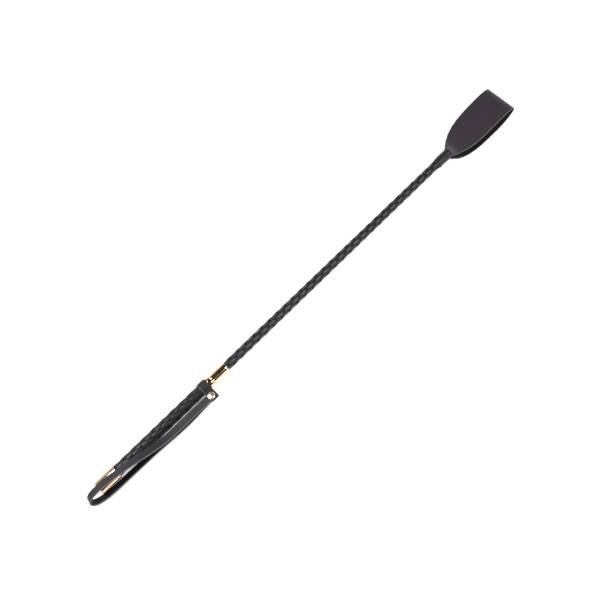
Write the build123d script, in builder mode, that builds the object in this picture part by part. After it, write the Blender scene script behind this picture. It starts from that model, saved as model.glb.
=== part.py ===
"""Riding crop: plaited handle and shaft over a glass-fibre rod, gilt butt cap and ferrule,
folded leather keeper at the tip and a riveted wrist strap.

Millimetres.  +X runs from the butt to the tip, +Z is up with the crop lying down, and the
origin is the centre of the butt cap's flat end face.
"""
import os
from math import cos, radians, sin

from build123d import *

os.makedirs("parts", exist_ok=True)

# ---------------------------------------------------------------- driving dimensions
REST_Z = -7.7  # the surface the crop lies on
TINY = 0.01

ROD_START, ROD_END = 4.0, 515.0
ROD_R_BUTT, ROD_R_TIP = 3.0, 1.95

CAP_LENGTH, CAP_R, CAP_CORNER = 24.6, 7.7, 1.6
CAP_WALL, CAP_BASE, CAP_MOUTH_ROUND = 0.7, 0.9, 0.4
GLUE_R = 4.5

HANDLE_R = 6.3  # over the plait
HANDLE_CORE_R = 4.9
HANDLE_END = 150.4
BUTT_WHIP_START, BUTT_WHIP_END = 5.0, 22.6

RING_R, RING_LENGTH = 6.45, 3.9
SLEEVE_R, SLEEVE_BORE_R, SLEEVE_END = 5.65, 5.05, 175.7
RING_ROUND = 0.35
BEAD_R, BEAD_WIDTH, BEAD_GROOVE, BEAD_ROUND = 6.05, 1.6, 0.6, 0.35
NOSE_LENGTH, NOSE_R = 2.4, 5.25  # the sleeve's tapered end over the shaft
FERRULE_WHIP_END = 163.0

SHAFT_START, SHAFT_END = 163.0, 503.0
SHAFT_R_BUTT, SHAFT_R_TIP = 5.0, 4.6
PLAIT_THICKNESS = 1.2

WRAP_START, WRAP_END, WRAP_BORE_R = 497.0, 516.0, 4.63
WRAP_OUTLINE = ((WRAP_START, 5.0), (503.0, 5.3), (510.0, 5.5), (WRAP_END, 5.6))
TIP_WHIP_START, TIP_WHIP_END, TIP_WHIP_R = 504.5, 513.0, 4.18

# folded keeper: one strip of leather, seen from the side as (x, z)
LEAF_THICKNESS = 1.3
LEAF_STEP = 1.8  # spacing of the points that shape the leaf's curved stretches
KEEPER_WIDTH, KEEPER_Y = 38.8, 0.1
TONGUE_WIDTH, TONGUE_START, TONGUE_END, TONGUE_Z = 5.0, 504.5, 513.0, 2.78
FLEX_X = 517.5
FLEX_GAP_INNER_R, FLEX_GAP_OUTER_R = 4.3, 4.6
LEAF_TOP = (
    (514.5, 2.8),
    (517.0, 3.15),
    (519.5, 4.2),
    (523.5, 5.9),
    (530.0, 7.4),
    (540.0, 8.6),
    (552.0, 9.5),
    (565.0, 10.4),
    (578.0, 11.3),
    (588.0, 11.8),
    (594.0, 11.5),
    (598.6, 10.5),
    (602.2, 8.7),
)
FOLD = ((604.1, 6.8), (604.6, 5.2), (604.2, 3.6))
LEAF_UNDERSIDE = (
    (603.0, 2.1),
    (600.8, 0.1),
    (596.3, -2.7),
    (590.3, -5.1),
    (584.0, -6.5),
    (578.0, -7.0),
)
REST_FLAT = (574.0, 556.0)  # the stretch of the back leaf that lies flat
LEAF_NECK = (
    (552.0, -7.0),
    (544.0, -6.65),
    (534.0, -5.75),
    (525.0, -4.5),
    (519.5, -3.5),
    (516.5, -2.95),
    (514.5, -2.8),
)
# the keeper's rounded base as (x, y) points; it swells sooner on its -Y side
BASE_NEAR = (
    (514.0, -5.6),
    (517.4, -8.4),
    (521.5, -11.3),
    (526.3, -13.7),
    (533.0, -15.9),
    (543.0, -17.5),
    (553.0, -18.2),
    (566.0, -18.4),
)
BASE_FAR = (
    (514.0, 3.9),
    (516.6, 5.4),
    (520.3, 8.1),
    (524.7, 10.7),
    (530.0, 13.4),
    (539.5, 16.4),
    (549.5, 18.2),
    (559.0, 19.1),
    (572.0, 19.5),
)
NECK_CLEAR = 0.3  # between the wrap's end and the neck's widening

# hanger band around the handle, with both ends out at the side
BAND_X = (140.1, 149.7)
BAND_THICKNESS = 0.9
TAB_TIP_Y = -16.9
TAB_ROOT_Y = -7.9
STRAP_THICKNESS, STRAP_WIDTH = 1.5, 8.0
STRAP_END_Z = 0.78  # half-way height of each of the strap's two stacked ends
TAB_INNER_Z = 1.6

RIVET_X, RIVET_Y = 143.6, -12.5
RIVET_POST_R, STRAP_HOLE_R = 1.7, 1.78
RIVET_CAP_R, RIVET_RIM, RIVET_CROWN, RIVET_BACK_CROWN = 3.9, 0.4, 1.2, 0.4

# wrist strap centre line: x, y, z, then the width's tilt about X and yaw about Z in degrees
STRAP_PATH = (
    (RIVET_X, RIVET_Y, STRAP_END_Z, 0, 0),
    (139.0, -12.4, STRAP_END_Z, 0, 0),
    (132.0, -12.2, 0.8, 0, 0),
    (120.0, -12.1, 0.95, 0, 0),
    (100.0, -12.3, 1.6, -2, 0),
    (84.0, -12.4, 2.9, -7, 0),
    (70.0, -11.7, 5.0, -11, 0),
    (56.0, -9.8, 7.3, -12, 0),
    (42.0, -7.4, 9.0, -13, 0),
    (24.0, -4.8, 9.8, -14, 0),
    (8.0, -2.9, 9.8, -15, 1),
    (-4.5, -2.2, 9.0, -15, 4),
    (-11.8, -2.6, 6.3, -16, 8),
    (-14.8, -4.0, 1.6, -18, 12),
    (-11.8, -6.3, -3.0, -20, 13),
    (-5.0, -8.4, -4.7, -22, 9),
    (6.0, -9.8, -5.2, -22, 5),
    (26.0, -10.4, -5.2, -24, 2),
    (49.0, -10.8, -5.2, -26, 0),
    (70.0, -11.4, -5.0, -25, 0),
    (90.0, -12.6, -4.3, -18, 0),
    (110.0, -13.3, -2.9, -9, 0),
    (124.0, -13.1, -1.6, -3, 0),
    (132.0, -12.85, -0.88, 0, 0),
    (139.0, -12.6, -STRAP_END_Z, 0, 0),
    (RIVET_X, RIVET_Y, -STRAP_END_Z, 0, 0),
)
STRAP_STEPS = 2  # stations per span of the path


# ---------------------------------------------------------------- helpers
def save(piece, label):
    """Name a piece and write it as its own STEP file."""
    piece.part.label = label
    export_step(piece.part, f"parts/{label}.step")


def turned(profile):
    """A solid turned about the X axis from (x, radius) points."""
    with BuildPart() as solid:
        with BuildSketch(Plane.XZ):
            with BuildLine():
                Polyline(*profile, close=True)
            make_face()
        revolve(axis=Axis.X)
    return solid


def tube(start, end, outer, inner):
    """A plain tube about the X axis, tapered when the radii are given as pairs."""
    outer_a, outer_b = outer
    inner_a, inner_b = inner
    return turned(((start, inner_a), (start, outer_a), (end, outer_b), (end, inner_b)))


def rod_radius(x):
    """Radius of the core rod at x."""
    share = (x - ROD_START) / (ROD_END - ROD_START)
    return ROD_R_BUTT + share * (ROD_R_TIP - ROD_R_BUTT)


# ---------------------------------------------------------------- core and plaits
def make_core():
    """Tapered rod, handle build-up and shaft liner."""
    rod = turned(
        ((ROD_START, 0), (ROD_START, ROD_R_BUTT), (ROD_END, ROD_R_TIP), (ROD_END, 0))
    )
    save(rod, "core_rod")
    core = tube(
        ROD_START,
        HANDLE_END,
        (HANDLE_CORE_R, HANDLE_CORE_R),
        (ROD_R_BUTT, rod_radius(HANDLE_END)),
    )
    save(core, "handle_core")
    liner = tube(
        SHAFT_START,
        SHAFT_END,
        (SHAFT_R_BUTT - PLAIT_THICKNESS, SHAFT_R_TIP - PLAIT_THICKNESS),
        (rod_radius(SHAFT_START), rod_radius(SHAFT_END)),
    )
    save(liner, "shaft_liner")


def make_plaits():
    """Leather plait sleeves over the handle and the shaft."""
    handle = tube(ROD_START, HANDLE_END, (HANDLE_R, HANDLE_R), (HANDLE_CORE_R, HANDLE_CORE_R))
    save(handle, "handle_braid")
    shaft = tube(
        SHAFT_START,
        SHAFT_END,
        (SHAFT_R_BUTT, SHAFT_R_TIP),
        (SHAFT_R_BUTT - PLAIT_THICKNESS, SHAFT_R_TIP - PLAIT_THICKNESS),
    )
    save(shaft, "shaft_braid")


def make_whippings():
    """Waxed thread bindings hidden under the cap, the ferrule and the tip wrap."""
    cap_bore = CAP_R - CAP_WALL
    butt = tube(BUTT_WHIP_START, BUTT_WHIP_END, (cap_bore, cap_bore), (HANDLE_R, HANDLE_R))
    save(butt, "butt_whipping")
    ferrule = tube(
        HANDLE_END,
        FERRULE_WHIP_END,
        (SLEEVE_BORE_R, SLEEVE_BORE_R),
        (rod_radius(HANDLE_END), rod_radius(FERRULE_WHIP_END)),
    )
    save(ferrule, "ferrule_whipping")
    tip = tube(
        TIP_WHIP_START, TIP_WHIP_END, (WRAP_BORE_R, WRAP_BORE_R), (TIP_WHIP_R, TIP_WHIP_R)
    )
    save(tip, "tip_whipping")


# ---------------------------------------------------------------- metalwork
def make_end_cap():
    """Drawn cup over the butt with a rolled lip at its mouth, and the glue set inside it."""
    bore = CAP_R - CAP_WALL
    with BuildPart() as cap:
        with BuildSketch(Plane.XZ):
            with BuildLine():
                Polyline(
                    (0, 0),
                    (0, CAP_R),
                    (CAP_LENGTH, CAP_R),
                    (CAP_LENGTH, HANDLE_R),
                    (BUTT_WHIP_END, HANDLE_R),
                    (BUTT_WHIP_END, bore),
                    (CAP_CORNER + CAP_BASE, bore),
                    (CAP_BASE, bore - CAP_CORNER),
                    (CAP_BASE, 0),
                    close=True,
                )
            make_face()
        revolve(axis=Axis.X)
        rims = cap.edges().filter_by(GeomType.CIRCLE)
        fillet(rims.filter_by_position(Axis.X, -TINY, TINY), CAP_CORNER)
        mouth = cap.edges().filter_by(GeomType.CIRCLE).group_by(Axis.X)[-1]
        fillet(mouth.group_by(SortBy.RADIUS)[-1], CAP_MOUTH_ROUND)
    save(cap, "end_cap")
    save(
        turned(((CAP_BASE, 0), (CAP_BASE, GLUE_R), (ROD_START, GLUE_R), (ROD_START, 0))),
        "cap_glue_plug",
    )


def make_ferrule():
    """Ring flange and beaded sleeve over the joint of handle and shaft."""
    ring_end = HANDLE_END + RING_LENGTH
    with BuildPart() as ring:
        with BuildSketch(Plane.YZ.offset(HANDLE_END)):
            Circle(RING_R)
            Circle(SLEEVE_R, mode=Mode.SUBTRACT)
        extrude(amount=RING_LENGTH)
        fillet(ring.edges().filter_by(GeomType.CIRCLE).group_by(SortBy.RADIUS)[-1], RING_ROUND)
    save(ring, "ferrule_ring")
    bead_start = ring_end + BEAD_GROOVE
    bead_end = bead_start + BEAD_WIDTH
    with BuildPart() as sleeve:
        with BuildSketch(Plane.XZ):
            with BuildLine():
                Polyline(
                    (HANDLE_END, SLEEVE_BORE_R),
                    (HANDLE_END, SLEEVE_R),
                    (bead_start, SLEEVE_R),
                    (bead_start, BEAD_R),
                    (bead_end, BEAD_R),
                    (bead_end, SLEEVE_R),
                    (SLEEVE_END - NOSE_LENGTH, SLEEVE_R),
                    (SLEEVE_END, NOSE_R),
                    (SLEEVE_END, SLEEVE_BORE_R),
                    close=True,
                )
            make_face()
        revolve(axis=Axis.X)
        fillet(sleeve.edges().filter_by(GeomType.CIRCLE).group_by(SortBy.RADIUS)[-1], BEAD_ROUND)
    save(sleeve, "ferrule_sleeve")


def rivet_disc(start_z, height, crown):
    """A disc about the rivet's axis whose free face swells by the crown."""
    end_z = start_z + height
    with BuildPart() as disc:
        with BuildSketch(Plane((RIVET_X, RIVET_Y, 0), x_dir=(1, 0, 0), z_dir=(0, -1, 0))):
            with BuildLine():
                Polyline((0, end_z + crown), (0, start_z), (RIVET_CAP_R, start_z), (RIVET_CAP_R, end_z))
                RadiusArc((RIVET_CAP_R, end_z), (0, end_z + crown), crown_radius(crown))
            make_face()
        revolve(axis=Axis((RIVET_X, RIVET_Y, 0), (0, 0, 1)))
    return disc


def crown_radius(crown):
    """Sphere radius of a crown; its sign says which way the arc bends."""
    radius = (RIVET_CAP_R**2 + crown**2) / (2 * abs(crown))
    return -radius if crown > 0 else radius


def make_rivet():
    """Domed cap, post and flatter back disc that pin the strap's ends in the hanger band."""
    tab_top = TAB_INNER_Z + BAND_THICKNESS
    with BuildPart() as post:
        with BuildSketch(Plane.XY.offset(-tab_top)):
            with Locations((RIVET_X, RIVET_Y)):
                Circle(RIVET_POST_R)
        extrude(amount=2 * tab_top)
    save(post, "rivet_post")
    save(rivet_disc(tab_top, RIVET_RIM, RIVET_CROWN), "rivet_cap")
    save(rivet_disc(-tab_top, -RIVET_RIM, -RIVET_BACK_CROWN), "rivet_back")


# ---------------------------------------------------------------- hanger band and tip wrap
def loop_outline(radius, tab_z, tab_tip_y):
    """Outline of a band pulled round the handle and pinched to a flat tab at -Y."""
    make_hull(
        (
            Edge.make_circle(radius),
            Edge.make_line((TAB_ROOT_Y, tab_z), (TAB_ROOT_Y, -tab_z)),
        )
    )
    with Locations(((TAB_ROOT_Y + tab_tip_y) / 2, 0)):
        Rectangle(TAB_ROOT_Y - tab_tip_y, 2 * tab_z)


def make_hanger_band():
    """One strip round the handle whose two ends come out together as a pierced tab."""
    with BuildPart() as band:
        with BuildSketch(Plane.YZ.offset(BAND_X[0])):
            loop_outline(HANDLE_R + BAND_THICKNESS, TAB_INNER_Z + BAND_THICKNESS, TAB_TIP_Y)
        extrude(amount=BAND_X[1] - BAND_X[0])
        with BuildSketch(Plane.YZ.offset(BAND_X[0])):
            loop_outline(HANDLE_R, TAB_INNER_Z, TAB_TIP_Y - 1)
        extrude(amount=BAND_X[1] - BAND_X[0], mode=Mode.SUBTRACT)
        with BuildSketch(Plane.XY.offset(-HANDLE_R)):
            with Locations((RIVET_X, RIVET_Y)):
                Circle(RIVET_POST_R)
        extrude(amount=2 * HANDLE_R, mode=Mode.SUBTRACT)
    save(band, "hanger_band")


def make_tip_wrap():
    """Leather strip wrapped round the end of the plait and the keeper's tongues."""
    bore = ((WRAP_END, WRAP_BORE_R), (WRAP_START, WRAP_BORE_R))
    save(turned(WRAP_OUTLINE + bore), "tip_wrap")


# ---------------------------------------------------------------- keeper
def leaf_edges(points):
    """Both faces of a leather strip, as side-view points, along a smooth centre curve."""
    with BuildLine(mode=Mode.PRIVATE) as centre:
        Spline(*points)
    curve = centre.edges()[0]
    steps = round(curve.length / LEAF_STEP)
    outer, inner = [], []
    for step in range(steps + 1):
        at = curve.position_at(step / steps)
        run = curve.tangent_at(step / steps)
        aside = Vector(-run.Y, run.X) * (LEAF_THICKNESS / 2)
        outer.append(at + aside)
        inner.append(at - aside)
    return outer, inner


def leaf_curves():
    """Centre points of the strip's two curved stretches."""
    rest_z = REST_Z + LEAF_THICKNESS / 2
    front_neck, back_neck = (TONGUE_END, TONGUE_Z), (TONGUE_END, -TONGUE_Z)
    yield (front_neck, *LEAF_TOP, *FOLD, *LEAF_UNDERSIDE, (REST_FLAT[0], rest_z))
    yield ((REST_FLAT[1], rest_z), *LEAF_NECK, back_neck)


def leaf_strip(width):
    """The folded strip of leather, extruded to a width about the keeper's middle plane."""
    with BuildPart() as strip:
        with BuildSketch(Plane((0, KEEPER_Y, 0), x_dir=(1, 0, 0), z_dir=(0, -1, 0))):
            with Locations(
                ((TONGUE_START + TONGUE_END) / 2, TONGUE_Z),
                ((TONGUE_START + TONGUE_END) / 2, -TONGUE_Z),
            ):
                Rectangle(TONGUE_END - TONGUE_START, LEAF_THICKNESS)
            with Locations((sum(REST_FLAT) / 2, REST_Z + LEAF_THICKNESS / 2)):
                Rectangle(REST_FLAT[0] - REST_FLAT[1], LEAF_THICKNESS)
            for points in leaf_curves():
                outer, inner = leaf_edges(points)
                with BuildLine():
                    Spline(*outer)
                    Line(outer[-1], inner[-1])
                    Spline(*inner)
                    Line(inner[0], outer[0])
                make_face()
        extrude(amount=width / 2, both=True)
    return strip


def flex_disc(radius):
    """A disc about the keeper's flex axis."""
    with BuildSketch(Plane((FLEX_X, KEEPER_Y, 0), x_dir=(1, 0, 0), z_dir=(0, -1, 0))) as disc:
        Circle(radius)
    return disc.sketch


def base_outline(far_x):
    """The keeper's outline seen from above, from its base to far_x."""
    with BuildSketch(Plane.XY.offset(-KEEPER_WIDTH)) as outline:
        with BuildLine():
            Spline(*BASE_NEAR)
            Spline(*BASE_FAR)
            Line(BASE_NEAR[0], BASE_FAR[0])
            Polyline(
                BASE_NEAR[-1],
                (far_x, BASE_NEAR[-1][1]),
                (far_x, BASE_FAR[-1][1]),
                BASE_FAR[-1],
            )
        make_face()
    return outline.sketch


def make_keeper():
    """Broad folded flap with a rounded base."""
    far_x = FOLD[1][0] + LEAF_THICKNESS
    with BuildPart() as keeper:
        add(leaf_strip(KEEPER_WIDTH).part)
        extrude(base_outline(far_x), amount=2 * KEEPER_WIDTH, mode=Mode.INTERSECT)
        with BuildSketch(Plane.YZ.offset(FLEX_X)):
            Rectangle(2 * KEEPER_WIDTH, 2 * KEEPER_WIDTH)
        extrude(amount=far_x - FLEX_X, mode=Mode.INTERSECT)
        extrude(flex_disc(FLEX_GAP_OUTER_R), amount=KEEPER_WIDTH, both=True, mode=Mode.SUBTRACT)
    save(keeper, "keeper")


def make_neck(label, side):
    """One of the strip's two tongues: narrow inside the tip wrap, widening up to the flex line."""
    flared_start = WRAP_END + NECK_CLEAR
    with BuildPart() as flared:
        extrude(flex_disc(FLEX_GAP_INNER_R), amount=KEEPER_WIDTH, both=True)
        extrude(base_outline(FOLD[1][0]), amount=2 * KEEPER_WIDTH, mode=Mode.INTERSECT)
        with BuildSketch(Plane.YZ.offset(flared_start)):
            with Locations((0, side * HANDLE_R)):
                Rectangle(2 * KEEPER_WIDTH, 2 * HANDLE_R)
        extrude(amount=2 * FLEX_GAP_OUTER_R, mode=Mode.INTERSECT)
    with BuildPart() as reach:
        with BuildSketch(Plane.YZ.offset(TONGUE_START)):
            with Locations((0, side * HANDLE_R)):
                Rectangle(TONGUE_WIDTH, 2 * HANDLE_R)
        extrude(amount=flared_start - TONGUE_START)
        add(flared.part)
    with BuildPart() as neck:
        add(leaf_strip(KEEPER_WIDTH).part)
        add(reach.part, mode=Mode.INTERSECT)
    save(neck, label)


# ---------------------------------------------------------------- wrist strap
def strap_stations():
    """Origin, width direction and running direction at each station along the strap."""
    with BuildLine() as path:
        Spline(*[point[:3] for point in STRAP_PATH], tangents=((-1, 0, 0), (1, 0, 0)))
    line = path.edges()[0]
    shares = [line.param_at_point(Vector(*point[:3])) for point in STRAP_PATH]
    for index in range(STRAP_STEPS * (len(STRAP_PATH) - 1) + 1):
        span = min(index // STRAP_STEPS, len(STRAP_PATH) - 2)
        blend = index / STRAP_STEPS - span
        share = shares[span] + blend * (shares[span + 1] - shares[span])
        here, after = STRAP_PATH[span], STRAP_PATH[span + 1]
        lean = radians(here[3] + blend * (after[3] - here[3]))
        turn = radians(here[4] + blend * (after[4] - here[4]))
        run = line.tangent_at(share)
        across = Vector(sin(turn) * cos(lean), cos(turn) * cos(lean), sin(lean))
        yield line.position_at(share), (across - run * across.dot(run)).normalized(), run


def make_wrist_strap():
    """One flat strap bent back on itself, both pierced ends stacked on the rivet."""
    with BuildPart() as strap:
        for at, across, run in strap_stations():
            with BuildSketch(Plane(at, x_dir=across, z_dir=run)):
                Rectangle(STRAP_WIDTH, STRAP_THICKNESS)
        loft(ruled=True)
        for side in (1, -1):
            with BuildSketch(Plane.XY.offset(side * STRAP_END_Z - STRAP_THICKNESS / 2)):
                with Locations((RIVET_X, RIVET_Y)):
                    Circle(STRAP_WIDTH / 2)
            extrude(amount=STRAP_THICKNESS)
        with BuildSketch(Plane.XY.offset(-HANDLE_R)):
            with Locations((RIVET_X, RIVET_Y)):
                Circle(STRAP_HOLE_R)
        extrude(amount=2 * HANDLE_R, mode=Mode.SUBTRACT)
    save(strap, "wrist_strap")


make_core()
make_plaits()
make_whippings()
make_end_cap()
make_ferrule()
make_rivet()
make_hanger_band()
make_tip_wrap()
make_keeper()
make_neck("keeper_neck_front", 1)
make_neck("keeper_neck_back", -1)
make_wrist_strap()
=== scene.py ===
"""Looks of the riding crop: plaited leather strands, gilt metal, folded keeper and wrist strap.

Lengths are millimetres in the frame's own axes, unless a comment says metres; MM turns them into
metres.
"""
import math

import bpy
import numpy as np
from mathutils import Matrix


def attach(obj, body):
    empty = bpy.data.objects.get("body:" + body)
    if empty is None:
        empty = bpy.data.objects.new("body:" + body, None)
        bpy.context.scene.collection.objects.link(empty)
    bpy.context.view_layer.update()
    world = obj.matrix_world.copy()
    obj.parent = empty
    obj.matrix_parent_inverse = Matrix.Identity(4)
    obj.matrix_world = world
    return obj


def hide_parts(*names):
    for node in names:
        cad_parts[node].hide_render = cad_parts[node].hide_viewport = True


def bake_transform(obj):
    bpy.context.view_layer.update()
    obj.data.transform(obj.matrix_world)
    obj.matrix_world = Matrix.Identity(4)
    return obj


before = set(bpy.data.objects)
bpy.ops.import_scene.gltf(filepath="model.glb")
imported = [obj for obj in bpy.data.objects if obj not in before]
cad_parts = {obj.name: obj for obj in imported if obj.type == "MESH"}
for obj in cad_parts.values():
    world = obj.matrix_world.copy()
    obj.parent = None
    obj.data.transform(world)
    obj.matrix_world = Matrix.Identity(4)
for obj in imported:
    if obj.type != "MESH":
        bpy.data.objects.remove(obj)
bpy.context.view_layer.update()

MM = 0.001
REST_Z = -7.75  # the floor, just clear of the keeper's and the strap's undersides

# Plaits. thickness is a strand's own, lift how far it rises and dives at each crossing, fill its
# width as a share of its lane, and bed how deep under the crests its width is measured.
STRANDS_EACH_WAY = 4
SHAFT = dict(start=174.0, end=502.0, pitch=46.0, thickness=1.0, lift=0.27, fill=0.88, bed=0.8)
HANDLE = dict(start=22.0, end=150.6, pitch=52.0, thickness=1.1, lift=0.29, fill=0.98, bed=1.0)
SHAFT_TAPER_X, SHAFT_TAPER_R = (175.7, 497.0), (5.12, 4.74)  # the shaft plait's crests
HANDLE_R = 6.3
HANDLE_CREST = 0.12  # how far the handle plait's crests stand proud of HANDLE_R
PLAIT_TURN = math.radians(22.5)  # turns a row of crossings uppermost
HIGHLIGHT_LENGTH, HIGHLIGHT_WIDTH = 0.5, 0.25  # half sizes of the painted highlight on a crossing, in strand spacings
HIGHLIGHT_FADE = 1.6  # how sharply the painted highlight fades at its rim
STRAND_STEP = 0.75  # along the crop, between a strand's sections
STRAND_ACROSS = 10  # points over the top of a strand's section
LACE_POWER = 4  # the section is a superellipse of this power: flat in the middle, round at the sides
RISE_POWER = 0.8  # below 1, a strand stays up or down longer between its crossings
DIVE_SHARE = 0.1  # of the thickness, as far as a strand's underside goes below its lowest middle

# Flat strips
RIM_BLEND = 0.25  # how far the painted rim highlight fades into a strip's flat faces
FAR_RIM_HIGHLIGHT = 0.3  # share of the painted rim highlight on a strip's far edge, which catches less light
STRIP_CORNER, BAND_CORNER = 0.4, 0.3

# Keeper leaf seen from the side, as (x, z) along the strip's middle
KEEPER_Y = 0.1
LEAF_THICKNESS = 1.3
LEAF = (
    (506.0, 2.78), (511.0, 2.78), (514.5, 2.8), (517.0, 3.15), (519.5, 4.2), (523.5, 5.9),
    (530.0, 7.4), (540.0, 8.6), (552.0, 9.5), (565.0, 10.4), (578.0, 11.3), (588.0, 11.8),
    (594.0, 11.5), (598.6, 10.5), (602.2, 8.7), (604.1, 6.8), (604.6, 5.2), (604.2, 3.6),
    (603.0, 2.1), (600.8, 0.1), (596.3, -2.7), (590.3, -5.1), (584.0, -6.5), (578.0, -7.0),
    (568.0, -7.05), (560.0, -7.05), (552.0, -7.0), (544.0, -6.65), (534.0, -5.75),
    (525.0, -4.5), (519.5, -3.5), (516.5, -2.95), (514.5, -2.8), (511.0, -2.78), (506.0, -2.78),
)
# The keeper's edges seen from above, as (x, y): it swells sooner on its -Y side
LEAF_NEAR = (
    (506.0, -2.5), (511.0, -2.9), (514.0, -5.6), (517.4, -8.4), (521.5, -11.3), (526.3, -13.7),
    (533.0, -15.9), (543.0, -17.5), (553.0, -18.2), (566.0, -18.4), (611.0, -18.4),
)
LEAF_FAR = (
    (506.0, 2.5), (511.0, 2.8), (514.0, 3.9), (516.6, 5.4), (520.3, 8.1), (524.7, 10.7),
    (530.0, 13.4), (539.5, 16.4), (549.5, 18.2), (559.0, 19.1), (572.0, 19.5), (611.0, 19.5),
)

# Beside the neck the two leaves' edges curl away from each other: how far at most, where that
# fades out towards the tip, and where it sets in
CUP_DEPTH = 1.5
CUP_FADE_END, CUP_FADE_LENGTH = 548.0, 26.0
CUP_START, CUP_START_LENGTH = 514.0, 8.0

# Wrist strap: x, y, z, then the width's tilt about X and yaw about Z in degrees
STRAP_WIDTH, STRAP_THICKNESS = 8.0, 1.5
STRAP_END = 3.9  # how far the strap's round ends reach past the rivet's axis
RIVET_X, RIVET_Y, RIVET_R = 143.6, -12.5, 3.9
STRAP = (
    (RIVET_X + STRAP_END, RIVET_Y, 0.78, 0, 0), (139.0, -12.4, 0.78, 0, 0),
    (132.0, -12.2, 0.8, 0, 0), (120.0, -12.1, 0.95, 0, 0), (100.0, -12.3, 1.6, -2, 0),
    (84.0, -12.4, 2.9, -7, 0), (70.0, -11.7, 5.0, -11, 0), (56.0, -9.8, 7.3, -12, 0),
    (42.0, -7.4, 9.0, -13, 0), (24.0, -4.8, 9.8, -14, 0), (8.0, -2.9, 9.8, -15, 1),
    (-4.5, -2.2, 9.0, -15, 4), (-11.8, -2.6, 6.3, -16, 8), (-14.8, -4.0, 1.6, -18, 12),
    (-11.8, -6.3, -3.0, -20, 13), (-5.0, -8.4, -4.7, -22, 9), (6.0, -9.8, -5.2, -22, 5),
    (26.0, -10.4, -5.2, -24, 2), (49.0, -10.8, -5.2, -26, 0), (70.0, -11.4, -5.0, -25, 0),
    (90.0, -12.6, -4.3, -18, 0), (110.0, -13.3, -2.9, -9, 0), (124.0, -13.1, -1.6, -3, 0),
    (132.0, -12.85, -0.88, 0, 0), (139.0, -12.6, -0.78, 0, 0),
    (RIVET_X + STRAP_END, RIVET_Y, -0.78, 0, 0),
)

# Hanger band: a strip round the handle whose two ends meet as a tab round the rivet
BAND_X = (140.1, 149.7)
BAND_THICKNESS = 0.9
TAB_GAP = 1.6  # from the rivet's mid height to the tab's inner face
TAB_Y = (-16.9, -13.5, -10.5)
TAB_ROOT_Y, TAB_ROOT_LIFT = -8.8, 0.25
BAND_OPENING = math.radians(37.4)  # about the handle, from the tab to where the round part starts

# End cap and rivet
CAP_R, CAP_LENGTH, CAP_LIP_R, CAP_WALL = 7.7, 24.6, 6.35, 0.7
CAP_CORNER, CAP_RIM = 1.6, 0.4
RIVET_TOP = 2.5  # height of the head's underside; the back disc starts as far down
RIVET_CROWN = 1.6  # height of the head

# Studio. TENT_WALL and TENT_TOP are what reflections see, and TENT_EDGE is between them, as a
# cosine from the top. TENT_GLOW is the even light that everything else sees.
TENT_WALL, TENT_TOP, TENT_GLOW = 0.85, 0.015, 0.6
TENT_EDGE = (0.28, 0.46)
DARK_TOP_TILT = -11.5  # degrees about X, from straight up
FLOOR_GLOW = 0.35  # the floor's own light, over what falls on it
FLOOR_WHITE = 0.8
FLOOR_REACH = 9000  # half the floor's width
KEY_LIGHTS = (  # name, place and target in metres, size in metres, power in watts
    ("key_butt", (-0.15, 0.3, 0.8), (0.15, 0, 0), (0.4, 0.3), 9.0),
    ("key_tip", (0.6, -0.6, 0.8), (0.45, 0, 0), (0.5, 0.2), 8.0),
)

# Camera, fitted to the crop's outline in the photograph: metres, degrees and millimetres
CAMERA_PLACE = (0.07619, -0.32231, 0.92740)
CAMERA_TURN = (21.668, 4.958, -44.929)
CAMERA_LENS, CAMERA_SENSOR = 57.0, 36.0


# ---------------------------------------------------------------- curves and meshes
def spline(points, step):
    """Natural cubic through the points (any number of columns), sampled about every step."""
    pts = np.array(points, float)
    gaps = np.sqrt((np.diff(pts[:, :3], axis=0) ** 2).sum(1))
    knots = np.concatenate([[0], np.cumsum(gaps)])
    n = len(pts)
    system, right = np.zeros((n, n)), np.zeros_like(pts)
    system[0, 0] = system[-1, -1] = 1
    for i in range(1, n - 1):
        system[i, i - 1 : i + 2] = gaps[i - 1], 2 * (gaps[i - 1] + gaps[i]), gaps[i]
        right[i] = 3 * ((pts[i + 1] - pts[i]) / gaps[i] - (pts[i] - pts[i - 1]) / gaps[i - 1])
    curve = np.linalg.solve(system, right)
    at = np.linspace(0, knots[-1], max(2, int(round(knots[-1] / step)) + 1))
    k = np.clip(np.searchsorted(knots, at, side="right") - 1, 0, n - 2)
    h, s = gaps[k][:, None], (at - knots[k])[:, None]
    slope = (pts[k + 1] - pts[k]) / h - h * (2 * curve[k] + curve[k + 1]) / 3
    return pts[k] + slope * s + curve[k] * s**2 + (curve[k + 1] - curve[k]) / (3 * h) * s**3


def unit(v):
    """The vectors in v at length 1."""
    return v / np.linalg.norm(v, axis=-1, keepdims=True)


def mesh_object(name, verts, faces, uvs=None):
    """A smooth-shaded mesh from millimetre points; uvs holds one (u, v) per vertex, in mm."""
    mesh = bpy.data.meshes.new(name)
    mesh.from_pydata([tuple(p) for p in np.asarray(verts) * MM], [], faces)
    if uvs is not None:
        layer = mesh.uv_layers.new(name="UVMap")
        index = np.zeros(len(mesh.loops), int)
        mesh.loops.foreach_get("vertex_index", index)
        layer.data.foreach_set("uv", (np.asarray(uvs)[index] * MM).ravel())
    mesh.shade_smooth()
    mesh.update()
    obj = bpy.data.objects.new(name, mesh)
    bpy.context.scene.collection.objects.link(obj)
    return obj


def tube_faces(rings, around, closed_ends=True):
    """Quads between successive closed rings, with end caps."""
    faces = []
    for i in range(rings - 1):
        a, b = i * around, (i + 1) * around
        for j in range(around):
            k = (j + 1) % around
            faces.append((a + j, a + k, b + k, b + j))
    if closed_ends:
        faces.append(tuple(reversed(range(around))))
        last = (rings - 1) * around
        faces.append(tuple(last + j for j in range(around)))
    return faces


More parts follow.
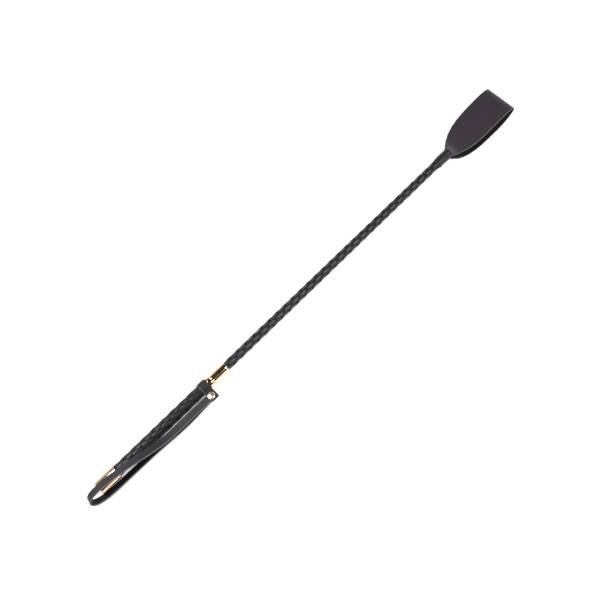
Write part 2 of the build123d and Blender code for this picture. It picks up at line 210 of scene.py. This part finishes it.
def strip_section(half, thickness, corner, flats=8):
    """Rounded flat section, once round: rows of (across, height, rim highlight, cut edge, lower face).

    The last three are masks from 0 to 1: the painted rim highlight, then the cut edge and the lower
    face, which go darker partly as painted shade. The first of four like quarters is built, then mirrored.
    """
    top = thickness / 2
    corner = min(corner, half * 0.9, top - 0.001)  # keeps a flat between the corners
    flat_end = half - corner - RIM_BLEND
    edge_blend = min(RIM_BLEND, top - corner) * 0.9
    quarter = [(across, top, 0, 0, 0) for across in np.linspace(-flat_end, flat_end, flats)[flats // 2 :]]
    for turn in np.radians((0, 30, 60)):
        across, height = corner * math.sin(turn), corner * math.cos(turn)
        quarter.append((half - corner + across, top - corner + height, 1, 0, 0))
    quarter += [(half, top - corner, 0.5, 0.5, 0), (half, top - corner - edge_blend, 0, 1, 0)]
    quarter = np.array(quarter)
    lower = quarter[::-1] * (1, -1, 1, 1, 0) + (0, 0, 0, 0, 1)
    right = np.concatenate([quarter, lower])
    return np.concatenate([right, right[::-1] * (-1, 1, 1, 1, 1)])


def ribbon(name, centre, across, near, far, thickness, corner, flesh_and_shade_below=True, shape=None):
    """A leather strip along centre, between its near and far edges, with rounded corners.

    Its upper face looks along run x across. The undressed side, darker partly as painted shade, is
    the lower face unless the flesh flag is false, and shape(i, side) bends station i's section by its
    place from -1 to 1.
    """
    centre, across = np.asarray(centre, float), unit(np.asarray(across, float))
    run = unit(np.gradient(centre, axis=0))
    across = unit(across - run * (run * across).sum(1, keepdims=True))
    up = np.cross(run, across)
    near, far = np.broadcast_to(near, len(centre)), np.broadcast_to(far, len(centre))
    length = np.concatenate([[0], np.cumsum(np.linalg.norm(np.diff(centre, axis=0), axis=1))])
    verts, uvs, trim = [], [], []
    for i, at in enumerate(centre):
        half, middle = (far[i] - near[i]) / 2, (far[i] + near[i]) / 2
        section = strip_section(half, thickness, corner)
        aside, height = section[:, :1], section[:, 1:2]
        if shape:
            height = height + shape(i, aside / half)
        verts.append(at + (aside + middle) * across[i] + height * up[i])
        uvs.append(np.stack([aside[:, 0] + middle, np.full(len(section), length[i])], 1))
        masks = section[:, 2:]
        if not flesh_and_shade_below:
            masks = masks * (1, 1, -1) + (0, 0, 1)
        # the painted rim highlight is weaker on the far edge
        masks[:, 0] *= np.where(aside[:, 0] > 0, FAR_RIM_HIGHLIGHT, 1)
        trim.append(masks)
    faces = tube_faces(len(centre), len(verts[0]))
    obj = mesh_object(name, np.concatenate(verts), faces, np.concatenate(uvs))
    paint = obj.data.color_attributes.new("trim", "FLOAT_COLOR", "POINT")
    paint.data.foreach_set("color", np.pad(np.concatenate(trim), ((0, 0), (0, 1))).ravel())
    return obj


def lathe(name, profile, segments=96, bulge=None):
    """A closed profile of (x, radius) turned about the X axis."""
    profile = np.array(profile, float)
    angles = np.linspace(0, 2 * math.pi, segments, endpoint=False)
    verts, uvs = [], []
    for a in angles:
        r = profile[:, 1] + (bulge(profile[:, 0], a) if bulge else 0)
        verts.append(np.stack([profile[:, 0], r * math.cos(a), r * math.sin(a)], 1))
        uvs.append(np.stack([profile[:, 0], np.full(len(profile), a * profile[:, 1].max())], 1))
    around = len(profile)
    faces = tube_faces(segments, around, closed_ends=False)
    last = (segments - 1) * around
    for j in range(around):
        k = (j + 1) % around
        faces.append((last + j, last + k, k, j))
    return mesh_object(name, np.concatenate(verts), faces, np.concatenate(uvs))


def arc(cx, cr, radius, start, end, steps=6):
    """Points of a fillet, angles in degrees in the (x, radius) plane."""
    return [
        (cx + radius * math.cos(math.radians(q)), cr + radius * math.sin(math.radians(q)))
        for q in np.linspace(start, end, steps)
    ]


# ---------------------------------------------------------------- materials
def new_material(name):
    """A new node material, its node tree and its principled shader."""
    material = bpy.data.materials.new(name)
    material.use_nodes = True
    tree = material.node_tree
    shader = tree.nodes["Principled BSDF"]
    return material, tree, shader


def node(tree, kind, **values):
    """A new node, with each value set on the input of that name or else on the node itself."""
    made = tree.nodes.new(kind)
    for key, value in values.items():
        if key in made.inputs:
            made.inputs[key].default_value = value
        else:
            setattr(made, key, value)
    return made


def mixed(tree, blend, first, second, factor=1.0):
    """Two colours blended. second and factor are each a socket or a constant."""
    made = node(tree, "ShaderNodeMix", data_type="RGBA", blend_type=blend)
    tree.links.new(first, made.inputs[6])
    if isinstance(second, tuple):
        made.inputs[7].default_value = (*second, 1)
    else:
        tree.links.new(second, made.inputs[7])
    if isinstance(factor, float):
        made.inputs[0].default_value = factor
    else:
        tree.links.new(factor, made.inputs[0])
    return made.outputs[2]


def ramp(tree, source, low, high, colour_low, colour_high):
    """colour_low where source is low, running to colour_high where it is high."""
    made = node(tree, "ShaderNodeValToRGB")
    made.color_ramp.elements[0].position = low
    made.color_ramp.elements[1].position = high
    made.color_ramp.elements[0].color = (*colour_low, 1)
    made.color_ramp.elements[1].color = (*colour_high, 1)
    tree.links.new(source, made.inputs["Fac"])
    return made.outputs["Color"]


def leather(name, dark, light, rough, grain, grain_height, specular, fibre=0.0, rim=None, crest_highlight=None):
    """Finished leather: pebble grain, faint mottling, gloss variation and, if asked, lengthwise fibre.

    grain is the pebbles' number per metre and grain_height their height in metres. The rim colour is a
    painted highlight on the rims of strips that carry a trim mask; their cut edges and undressed side go
    darker, partly as painted shade. The crest colour is a painted highlight on plaited strands where they
    lie uppermost.
    """
    material, tree, shader = new_material(name)
    coords = node(tree, "ShaderNodeTexCoord")
    place = coords.outputs["Object"]
    mottle = node(tree, "ShaderNodeTexNoise", Scale=420.0, Detail=4.0, Roughness=0.6)
    tree.links.new(place, mottle.inputs["Vector"])
    colour = ramp(tree, mottle.outputs["Fac"], 0.35, 0.7, dark, light)
    pebble = node(tree, "ShaderNodeTexVoronoi", feature="SMOOTH_F1", Scale=grain, Smoothness=0.6)
    tree.links.new(place, pebble.inputs["Vector"])
    crease = node(tree, "ShaderNodeTexNoise", Scale=grain * 0.45, Detail=6.0, Roughness=0.65)
    tree.links.new(place, crease.inputs["Vector"])
    height = node(tree, "ShaderNodeMath", operation="ADD")
    tree.links.new(pebble.outputs["Distance"], height.inputs[0])
    tree.links.new(crease.outputs["Fac"], height.inputs[1])
    total = height.outputs[0]
    if fibre:
        stretch = node(tree, "ShaderNodeMapping")
        stretch.inputs["Scale"].default_value = (1500.0, 45.0, 1.0)
        tree.links.new(coords.outputs["UV"], stretch.inputs["Vector"])
        lines = node(tree, "ShaderNodeTexNoise", Scale=1.0, Detail=3.0, Roughness=0.55)
        tree.links.new(stretch.outputs["Vector"], lines.inputs["Vector"])
        scaled = node(tree, "ShaderNodeMath", operation="MULTIPLY_ADD")
        scaled.inputs[1].default_value = fibre
        tree.links.new(lines.outputs["Fac"], scaled.inputs[0])
        tree.links.new(total, scaled.inputs[2])
        total = scaled.outputs[0]
        shade = ramp(tree, lines.outputs["Fac"], 0.3, 0.7, (0.55, 0.55, 0.55), (1.35, 1.35, 1.35))
        colour = mixed(tree, "MULTIPLY", colour, shade)
    if rim:
        masks = node(tree, "ShaderNodeAttribute", attribute_name="trim")
        split = node(tree, "ShaderNodeSeparateColor")
        tree.links.new(masks.outputs["Color"], split.inputs["Color"])
        # the undressed side's darker colour, partly painted shade inside folds and loops
        colour = mixed(tree, "MIX", colour, FLESH_SIDE_AND_SHADE, split.outputs["Blue"])
        # the rim colour: a painted highlight along the strip's top corners
        colour = mixed(tree, "MIX", colour, rim, split.outputs["Red"])
        # the cut edges' black, partly painted shade
        colour = mixed(tree, "MIX", colour, CUT_EDGE_BLACK_AND_SHADE, split.outputs["Green"])
    # the crest colour: a painted highlight where a plaited strand lies uppermost
    if crest_highlight:
        masks = node(tree, "ShaderNodeAttribute", attribute_name="crest_highlight")
        colour = mixed(tree, "MIX", colour, crest_highlight, masks.outputs["Fac"])
    bump = node(tree, "ShaderNodeBump", Strength=0.55, Distance=grain_height)
    tree.links.new(total, bump.inputs["Height"])
    tree.links.new(bump.outputs["Normal"], shader.inputs["Normal"])
    gloss = node(tree, "ShaderNodeMapRange")
    gloss.inputs["To Min"].default_value = rough - 0.06
    gloss.inputs["To Max"].default_value = rough + 0.08
    tree.links.new(crease.outputs["Fac"], gloss.inputs["Value"])
    tree.links.new(gloss.outputs["Result"], shader.inputs["Roughness"])
    tree.links.new(colour, shader.inputs["Base Color"])
    shader.inputs["Specular IOR Level"].default_value = specular
    return material


def gilt(name, tint, rough):
    """Polished plated metal with fine turning marks and faint handling smears."""
    material, tree, shader = new_material(name)
    coords = node(tree, "ShaderNodeTexCoord")
    stretch = node(tree, "ShaderNodeMapping")
    stretch.inputs["Scale"].default_value = (3800.0, 120.0, 120.0)
    tree.links.new(coords.outputs["Object"], stretch.inputs["Vector"])
    marks = node(tree, "ShaderNodeTexNoise", Scale=1.0, Detail=3.0, Roughness=0.5)
    tree.links.new(stretch.outputs["Vector"], marks.inputs["Vector"])
    bump = node(tree, "ShaderNodeBump", Strength=0.12, Distance=0.00002)
    tree.links.new(marks.outputs["Fac"], bump.inputs["Height"])
    tree.links.new(bump.outputs["Normal"], shader.inputs["Normal"])
    smear = node(tree, "ShaderNodeTexNoise", Scale=140.0, Detail=4.0, Roughness=0.6)
    tree.links.new(coords.outputs["Object"], smear.inputs["Vector"])
    gloss = node(tree, "ShaderNodeMapRange")
    gloss.inputs["To Min"].default_value = rough * 0.6
    gloss.inputs["To Max"].default_value = rough * 1.5
    tree.links.new(smear.outputs["Fac"], gloss.inputs["Value"])
    tree.links.new(gloss.outputs["Result"], shader.inputs["Roughness"])
    shade = tuple(c * 0.9 for c in tint)
    tree.links.new(ramp(tree, smear.outputs["Fac"], 0.3, 0.7, shade, tint), shader.inputs["Base Color"])
    shader.inputs["Metallic"].default_value = 1.0
    return material


def fibrous(name, colour, rough, scale):
    """Hidden build-up materials: thread, glass fibre, moulded plastic, adhesive."""
    material, tree, shader = new_material(name)
    coords = node(tree, "ShaderNodeTexCoord")
    stretch = node(tree, "ShaderNodeMapping")
    stretch.inputs["Scale"].default_value = scale
    tree.links.new(coords.outputs["Object"], stretch.inputs["Vector"])
    noise = node(tree, "ShaderNodeTexNoise", Scale=1.0, Detail=4.0, Roughness=0.6)
    tree.links.new(stretch.outputs["Vector"], noise.inputs["Vector"])
    shade = tuple(c * 0.7 for c in colour)
    tree.links.new(ramp(tree, noise.outputs["Fac"], 0.35, 0.7, shade, colour), shader.inputs["Base Color"])
    bump = node(tree, "ShaderNodeBump", Strength=0.4, Distance=0.0001)
    tree.links.new(noise.outputs["Fac"], bump.inputs["Height"])
    tree.links.new(bump.outputs["Normal"], shader.inputs["Normal"])
    shader.inputs["Roughness"].default_value = rough
    return material


# the cut edges' near-black is partly the edge's own colour and partly painted shade
CUT_EDGE_BLACK_AND_SHADE = (0.002, 0.002, 0.002)
# the undressed side's darker colour: partly its own, partly painted shade inside the keeper's fold and the
# strap's loop
FLESH_SIDE_AND_SHADE = (0.009, 0.0075, 0.0085)
# the crest colours of the two plaits are painted highlights
PLAIT = leather(
    "plait_leather", (0.002, 0.002, 0.0025), (0.004, 0.004, 0.005), rough=0.32,
    grain=1500.0, grain_height=0.00003, specular=0.17, crest_highlight=(0.040, 0.0385, 0.042),
)
GRIP_PLAIT = leather(
    "grip_leather", (0.002, 0.002, 0.0025), (0.004, 0.004, 0.005), rough=0.34,
    grain=1500.0, grain_height=0.00003, specular=0.2, crest_highlight=(0.016, 0.0155, 0.017),
)
# the keeper's rim colour is a painted highlight
SMOOTH = leather(
    "smooth_leather", (0.022, 0.0175, 0.022), (0.027, 0.0215, 0.027), rough=0.45,
    grain=1300.0, grain_height=0.00004, specular=0.35, rim=(0.09, 0.085, 0.09),
)
WRAP_LEATHER = leather(
    "wrap_leather", (0.010, 0.010, 0.012), (0.016, 0.015, 0.018), rough=0.45,
    grain=1300.0, grain_height=0.00005, specular=0.3,
)
# its rim colour is a painted highlight along the strap's and the band's rims
STRAP_LEATHER = leather(
    "strap_leather", (0.012, 0.0105, 0.0135), (0.017, 0.015, 0.019), rough=0.45,
    grain=1400.0, grain_height=0.00005, specular=0.3, fibre=2.5, rim=(0.12, 0.115, 0.12),
)
GOLD = gilt("gilt_metal", (0.95, 0.66, 0.42), 0.12)
# a darker copy of the gilt metal for the end cap: painted shade
SHADED_CAP_GOLD = gilt("shaded_cap_gilt", (0.62, 0.44, 0.28), 0.16)
RIVET_GOLD = gilt("rivet_gilt", (0.92, 0.72, 0.48), 0.3)
HIDDEN = {  # CAD nodes that are kept as they are, and their materials
    "core_rod": fibrous("glass_fibre", (0.70, 0.72, 0.64), 0.45, (60.0, 1500.0, 1500.0)),
    "handle_core": fibrous("core_plastic", (0.03, 0.03, 0.03), 0.6, (300.0, 300.0, 300.0)),
    "shaft_liner": fibrous("liner_thread", (0.02, 0.02, 0.02), 0.8, (2200.0, 300.0, 300.0)),
    "butt_whipping": fibrous("butt_thread", (0.02, 0.02, 0.02), 0.7, (2400.0, 200.0, 200.0)),
    "ferrule_whipping": fibrous("ferrule_thread", (0.02, 0.02, 0.02), 0.7, (2400.0, 200.0, 200.0)),
    "tip_whipping": fibrous("tip_thread", (0.02, 0.02, 0.02), 0.7, (2400.0, 200.0, 200.0)),
    "cap_glue_plug": fibrous("adhesive", (0.6, 0.5, 0.33), 0.35, (200.0, 200.0, 200.0)),
    "rivet_post": GOLD,
}


def finish_piece(obj, material, body, slot, *stands_for):
    """Gives a piece its material and its body if it has one, and hides the CAD nodes it stands for; slot is
    not used.
    """
    obj.data.materials.clear()
    obj.data.materials.append(material)
    if body:
        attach(obj, body)
    if stands_for:
        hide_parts(*stands_for)


# ---------------------------------------------------------------- plaits
def shaft_radius(x):
    """Radius over the shaft plait's crests."""
    return np.interp(x, SHAFT_TAPER_X, SHAFT_TAPER_R)


def handle_radius(x):
    """Radius over the handle plait's crests."""
    return np.full_like(x, HANDLE_R + HANDLE_CREST)


def plait_strand(name, spec, radius, way, index):
    """One strand of a one-over-one round plait: a curved lace that rises and dives in turn."""
    first, last, thickness, lift = spec["start"], spec["end"], spec["thickness"], spec["lift"]
    mean_r = float(radius(np.array([(first + last) / 2]))[0]) - spec["bed"]
    turn = 2 * math.pi / STRANDS_EACH_WAY
    wave = 2 * math.pi / spec["pitch"]
    lean = math.atan(2 * math.pi * mean_r / spec["pitch"])
    width = mean_r * turn * math.cos(lean) * spec["fill"]

    # the lace's section, once round
    side = np.sin(np.linspace(-math.pi / 2, math.pi / 2, STRAND_ACROSS))
    edge = np.sqrt(np.clip(1 - side**LACE_POWER, 0, 1))
    across = np.concatenate([side, side[::-1][1:-1]]) * width / 2
    height = np.concatenate([edge, -edge[::-1][1:-1]]) * thickness / 2

    # where each point lies along and round the crop, and how far it rises
    stations = np.arange(first, last + STRAND_STEP, STRAND_STEP)
    x = stations[:, None] - way * math.sin(lean) * across[None, :]
    mid = radius(np.clip(x, first, last)) - thickness / 2 - lift
    theta = way * wave * stations[:, None] + index * turn + math.cos(lean) * across[None, :] / mid
    other = (theta + way * wave * x) / turn
    swing = np.cos(math.pi * (other - index)) * way
    rise = lift * np.sign(swing) * np.abs(swing) ** RISE_POWER
    r = np.maximum(mid + rise + height[None, :], mid - lift - DIVE_SHARE * thickness)

    # the painted highlight where this strand lies over another
    own = (theta - way * wave * x) / turn - index
    apart = other - index - (1 - way) / 2
    crossing = apart - 2 * np.round(apart / 2)
    along, around = (crossing - own) / 2, (crossing + own) / 2
    crest_highlight_mask = np.clip(HIGHLIGHT_FADE * (1 - (along / HIGHLIGHT_LENGTH) ** 2 - (around / HIGHLIGHT_WIDTH) ** 2), 0, 1)

    x = np.clip(x, first, last)
    turned = theta + PLAIT_TURN
    verts = np.stack([x, r * np.cos(turned), r * np.sin(turned)], -1).reshape(-1, 3)
    run = np.broadcast_to(stations[:, None] / math.cos(lean), x.shape)
    uvs = np.stack([np.broadcast_to(across, x.shape), run], -1).reshape(-1, 2)
    strand = mesh_object(name, verts, tube_faces(len(stations), len(across)), uvs)
    # the painted highlight goes on the strand's upper half only
    paint = strand.data.attributes.new("crest_highlight", "FLOAT", "POINT")
    paint.data.foreach_set("value", (crest_highlight_mask * (height > 0)).ravel())
    return strand


def make_plait(label, spec, radius, material, cad_node):
    """All the strands of one plait, four each way."""
    for way, side in ((1, "right"), (-1, "left")):
        for index in range(STRANDS_EACH_WAY):
            strand = plait_strand(f"{label}_strand_{side}_{index + 1}", spec, radius, way, index)
            finish_piece(strand, material, "crop", "plaited_leather", cad_node)


# ------------------------------------------------- metalwork, as (x, radius) profiles
def make_end_cap():
    """A cup with a rounded corner and an inward lip, open towards the handle."""
    inside = CAP_R - CAP_WALL
    profile = [(0.0, 0.001), (0.0, 3.0), (0.0, CAP_R - CAP_CORNER - 0.1)]
    profile += arc(CAP_CORNER, CAP_R - CAP_CORNER, CAP_CORNER, 180, 90, 9)
    profile += [(x, CAP_R) for x in np.linspace(3.0, CAP_LENGTH - 0.8, 8)]
    profile += arc(CAP_LENGTH - CAP_RIM, CAP_R - CAP_RIM, CAP_RIM, 90, 0, 5)
    profile += [(CAP_LENGTH, CAP_LIP_R + 0.2), (CAP_LENGTH - 0.2, CAP_LIP_R)]
    profile += [(CAP_LENGTH - 1.9, CAP_LIP_R), (CAP_LENGTH - 2.0, inside)]
    profile += [(2.5, inside), (0.9, inside - CAP_CORNER), (0.9, 0.001)]
    finish_piece(lathe("gilt_end_cap", profile, 128), SHADED_CAP_GOLD, "crop", "gilt_metal", "end_cap")


def make_ferrule():
    """The ring by the handle, and the sleeve with its bead and its rounded nose."""
    ring = [(150.4, 5.66), (150.4, 6.1)]
    ring += arc(150.75, 6.1, 0.35, 180, 90, 5)
    ring += [(151.5, 6.45), (153.2, 6.45)]
    ring += arc(153.95, 6.1, 0.35, 90, 0, 5)
    ring += [(154.3, 5.66)]
    finish_piece(lathe("gilt_ferrule_ring", ring, 128), GOLD, "crop", "gilt_metal", "ferrule_ring")
    bead, nose = np.linspace(0.2, 2.94, 11), np.linspace(0.15, 1.57, 9)
    sleeve = [(150.5, 5.05), (150.5, 5.64), (154.4, 5.64), (154.8, 5.6)]
    sleeve += [(155.7 - 0.8 * math.cos(q), 5.6 + 0.45 * math.sin(q)) for q in bead]
    sleeve += [(156.6, 5.6), (157.2, 5.65), (160.0, 5.65), (166.0, 5.65), (172.6, 5.65)]
    sleeve += [(173.0 + 2.7 * math.sin(q), 5.15 + 0.5 * math.cos(q)) for q in nose]
    sleeve += [(175.5, 5.05)]
    finish_piece(lathe("gilt_ferrule_sleeve", sleeve, 128), GOLD, "crop", "gilt_metal", "ferrule_sleeve")


def turned_about_rivet(obj):
    """Stands a piece turned about X upright on the rivet's axis."""
    stand = Matrix.Translation((RIVET_X * MM, RIVET_Y * MM, 0)) @ Matrix.Rotation(-math.pi / 2, 4, "Y")
    obj.data.transform(stand)
    obj.data.update()
    return obj


def make_rivet():
    """The domed head on top, and the low disc underneath."""
    rim = 0.55  # where the dome's curve is taken to start, above the head's underside
    head = [(RIVET_TOP, 0.001), (RIVET_TOP, RIVET_R - 0.3), (RIVET_TOP + 0.1, RIVET_R - 0.05)]
    head += arc(RIVET_TOP + 0.35, RIVET_R - 0.25, 0.25, -10, 80, 5)[1:]
    for share in np.linspace(0.88, 0.0, 12):
        dome = (RIVET_CROWN - rim) * math.sqrt(1 - share**2)
        head.append((RIVET_TOP + rim + dome, RIVET_R * share + 0.001))
    cap = turned_about_rivet(lathe("gilt_rivet_cap", head, 72))
    finish_piece(cap, RIVET_GOLD, "crop", "gilt_metal", "rivet_cap")
    steps = (
        (0, 0.001), (0, RIVET_R - 0.2), (0.15, RIVET_R), (0.35, RIVET_R - 0.1), (0.55, 3.2),
        (0.75, 1.8), (0.8, 0.001),
    )
    foot = [(-RIVET_TOP - depth, radius) for depth, radius in steps]
    back = turned_about_rivet(lathe("gilt_rivet_back", foot, 72))
    finish_piece(back, RIVET_GOLD, "crop", "gilt_metal", "rivet_back")


# ---------------------------------------------------------------- leather strips and wrap
def make_keeper():
    """One strip folded at the tip; both of its ends run into the tip wrap."""
    path = spline([(x, KEEPER_Y, z) for x, z in LEAF], 0.8)
    x = path[:, 0]
    near = np.interp(x, *np.transpose(LEAF_NEAR)) - KEEPER_Y
    far = np.interp(x, *np.transpose(LEAF_FAR)) - KEEPER_Y
    across = np.tile((0.0, 1.0, 0.0), (len(path), 1))
    fade = np.clip((CUP_FADE_END - x) / CUP_FADE_LENGTH, 0, 1) ** 2
    cup = CUP_DEPTH * fade * np.clip((x - CUP_START) / CUP_START_LENGTH, 0, 1)

    def shape(i, side):
        return cup[i] * side**2

    keeper = ribbon(
        "leather_keeper", path, across, near, far, LEAF_THICKNESS, STRIP_CORNER, shape=shape
    )
    finish_piece(
        keeper, SMOOTH, None, "smooth_leather", "keeper", "keeper_neck_front", "keeper_neck_back"
    )
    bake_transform(keeper)


def make_strap():
    """One strip from above the tab, round the butt and back to below the tab, with round ends."""
    path = spline(STRAP, 1.0)
    lean, turn = np.radians(path[:, 3]), np.radians(path[:, 4])
    across = np.stack([np.sin(turn) * np.cos(lean), np.cos(turn) * np.cos(lean), np.sin(lean)], 1)
    past_rivet = np.clip((RIVET_X - path[:, 0]) / (STRAP_WIDTH / 2), -0.97, 0)
    half = STRAP_WIDTH / 2 * np.sqrt(1 - past_rivet**2)
    strap = ribbon(
        "leather_wrist_strap", path[:, :3], across, -half, half, STRAP_THICKNESS, STRIP_CORNER,
        flesh_and_shade_below=False,
    )
    finish_piece(strap, STRAP_LEATHER, "strap", "smooth_leather", "wrist_strap")


def make_band():
    """The strip round the handle, from one end of its tab to the other."""
    r = HANDLE_R + BAND_THICKNESS / 2
    tab_z = TAB_GAP + BAND_THICKNESS / 2
    angles = np.linspace(BAND_OPENING, 2 * math.pi - BAND_OPENING, 40)
    upper = [(y, tab_z) for y in TAB_Y] + [(TAB_ROOT_Y, tab_z + TAB_ROOT_LIFT)]
    wrap = [(-r * math.cos(a), r * math.sin(a)) for a in angles]
    lower = [(y, -z) for y, z in reversed(upper)]
    path = spline([(sum(BAND_X) / 2, y, z) for y, z in upper + wrap + lower], 0.6)
    across = np.tile((1.0, 0.0, 0.0), (len(path), 1))
    half = (BAND_X[1] - BAND_X[0]) / 2
    band = ribbon("leather_hanger_band", path, across, -half, half, BAND_THICKNESS, BAND_CORNER)
    finish_piece(band, STRAP_LEATHER, "crop", "smooth_leather", "hanger_band")


def make_tip_wrap():
    """The strip wrapped round the plait's end: a widening tube with a step, a lump and waves.

    The step at seam_x is the strip's edge: the strip lies double from there towards the butt.
    """
    start, lump_x, lump_angle, seam_x = 497.3, 499.5, 3.5, 510.6

    def bulge(x, angle):
        lump = 0.55 * np.exp(-(((x - lump_x) / 1.8) ** 2)) * math.exp(-(((angle - lump_angle) / 0.35) ** 2))
        seam = 0.22 / (1 + np.exp((x - seam_x) / 0.25))
        waves = 0.06 * np.sin(3 * angle + 0.35 * x) + 0.05 * np.sin(5 * angle - 0.6 * x)
        return np.where(x > start, lump + seam + waves, 0)

    stations = np.linspace(497.6, 516.0, 48)
    radii = np.interp(stations, (497.5, 503, 510, 516), (5.0, 5.25, 5.45, 5.65))
    outer = [(497.2, 4.65), (497.25, 5.0)]
    outer += list(zip(stations, radii))
    outer += [(516.4, 5.45), (516.5, 4.9), (516.0, 4.65)]
    wrap = lathe("leather_tip_wrap", outer, 72, bulge)
    finish_piece(wrap, WRAP_LEATHER, "crop", "smooth_leather", "tip_wrap")


# ---------------------------------------------------------------- stage, light, camera
def make_stage():
    """A plain floor that gives off some light of its own, so that it comes out white."""
    corners = ((-1, -1), (1, -1), (1, 1), (-1, 1))
    verts = [(FLOOR_REACH * x, FLOOR_REACH * y, REST_Z) for x, y in corners]
    floor = mesh_object("pale_floor", verts, [(0, 1, 2, 3)])
    material, _, shader = new_material("pale_floor")
    shader.inputs["Base Color"].default_value = (FLOOR_WHITE, FLOOR_WHITE, FLOOR_WHITE, 1)
    shader.inputs["Roughness"].default_value = 0.9
    shader.inputs["Emission Color"].default_value = (1, 1, 1, 1)
    shader.inputs["Emission Strength"].default_value = FLOOR_GLOW
    floor.data.materials.append(material)


def area_light(name, place, target, size, power):
    """A rectangular lamp at place that faces target."""
    light = bpy.data.lights.new(name, "AREA")
    light.shape = "RECTANGLE"
    light.size, light.size_y = size
    light.energy = power
    obj = bpy.data.objects.new(name, light)
    bpy.context.scene.collection.objects.link(obj)
    back = unit(np.array(place, float) - np.array(target, float))
    side = unit(np.cross((0.0, 0.0, 1.0), back))
    turn = Matrix((side, np.cross(back, side), back)).transposed().to_4x4()
    obj.matrix_world = Matrix.Translation(place) @ turn


def make_light():
    """A white tent round the crop, dark overhead in reflections only, and two soft key lights."""
    scene = bpy.context.scene
    scene.view_settings.view_transform = "Standard"
    world = bpy.data.worlds.new("studio")
    scene.world = world
    world.use_nodes = True
    tree = world.node_tree
    sky = tree.nodes["Background"]
    coords = node(tree, "ShaderNodeTexCoord")
    tilt = node(tree, "ShaderNodeMapping", vector_type="VECTOR")
    tilt.inputs["Rotation"].default_value = (math.radians(DARK_TOP_TILT), 0, 0)
    tree.links.new(coords.outputs["Generated"], tilt.inputs["Vector"])
    split = node(tree, "ShaderNodeSeparateXYZ")
    tree.links.new(tilt.outputs["Vector"], split.inputs["Vector"])
    tent = node(tree, "ShaderNodeMapRange", interpolation_type="SMOOTHSTEP")
    tent.inputs["From Min"].default_value = TENT_EDGE[0]
    tent.inputs["From Max"].default_value = TENT_EDGE[1]
    tent.inputs["To Min"].default_value = TENT_WALL
    tent.inputs["To Max"].default_value = TENT_TOP
    tree.links.new(split.outputs["Z"], tent.inputs["Value"])
    ray = node(tree, "ShaderNodeLightPath")
    pick = node(tree, "ShaderNodeMix", data_type="FLOAT")
    tree.links.new(ray.outputs["Is Glossy Ray"], pick.inputs["Factor"])
    pick.inputs["A"].default_value = TENT_GLOW
    tree.links.new(tent.outputs["Result"], pick.inputs["B"])
    tree.links.new(pick.outputs["Result"], sky.inputs["Strength"])
    sky.inputs["Color"].default_value = (1, 1, 1, 1)
    for light in KEY_LIGHTS:
        area_light(*light)


def make_camera():
    """The photograph's view."""
    camera = bpy.data.cameras.new("camera")
    camera.sensor_width = CAMERA_SENSOR
    camera.lens = CAMERA_LENS
    camera.clip_start, camera.clip_end = 0.01, 100
    obj = bpy.data.objects.new("camera", camera)
    bpy.context.scene.collection.objects.link(obj)
    obj.location = CAMERA_PLACE
    obj.rotation_euler = [math.radians(turn) for turn in CAMERA_TURN]
    bpy.context.scene.camera = obj


def finish_hidden():
    """Materials for the inner CAD nodes, which nothing replaces."""
    for name, material in HIDDEN.items():
        cad_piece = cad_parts[name]
        cad_piece.data.materials.clear()
        cad_piece.data.materials.append(material)


make_plait("shaft", SHAFT, shaft_radius, PLAIT, "shaft_braid")
make_plait("handle", HANDLE, handle_radius, GRIP_PLAIT, "handle_braid")
make_end_cap()
make_ferrule()
make_rivet()
make_keeper()
make_strap()
make_band()
make_tip_wrap()
finish_hidden()
make_stage()
make_light()
make_camera()
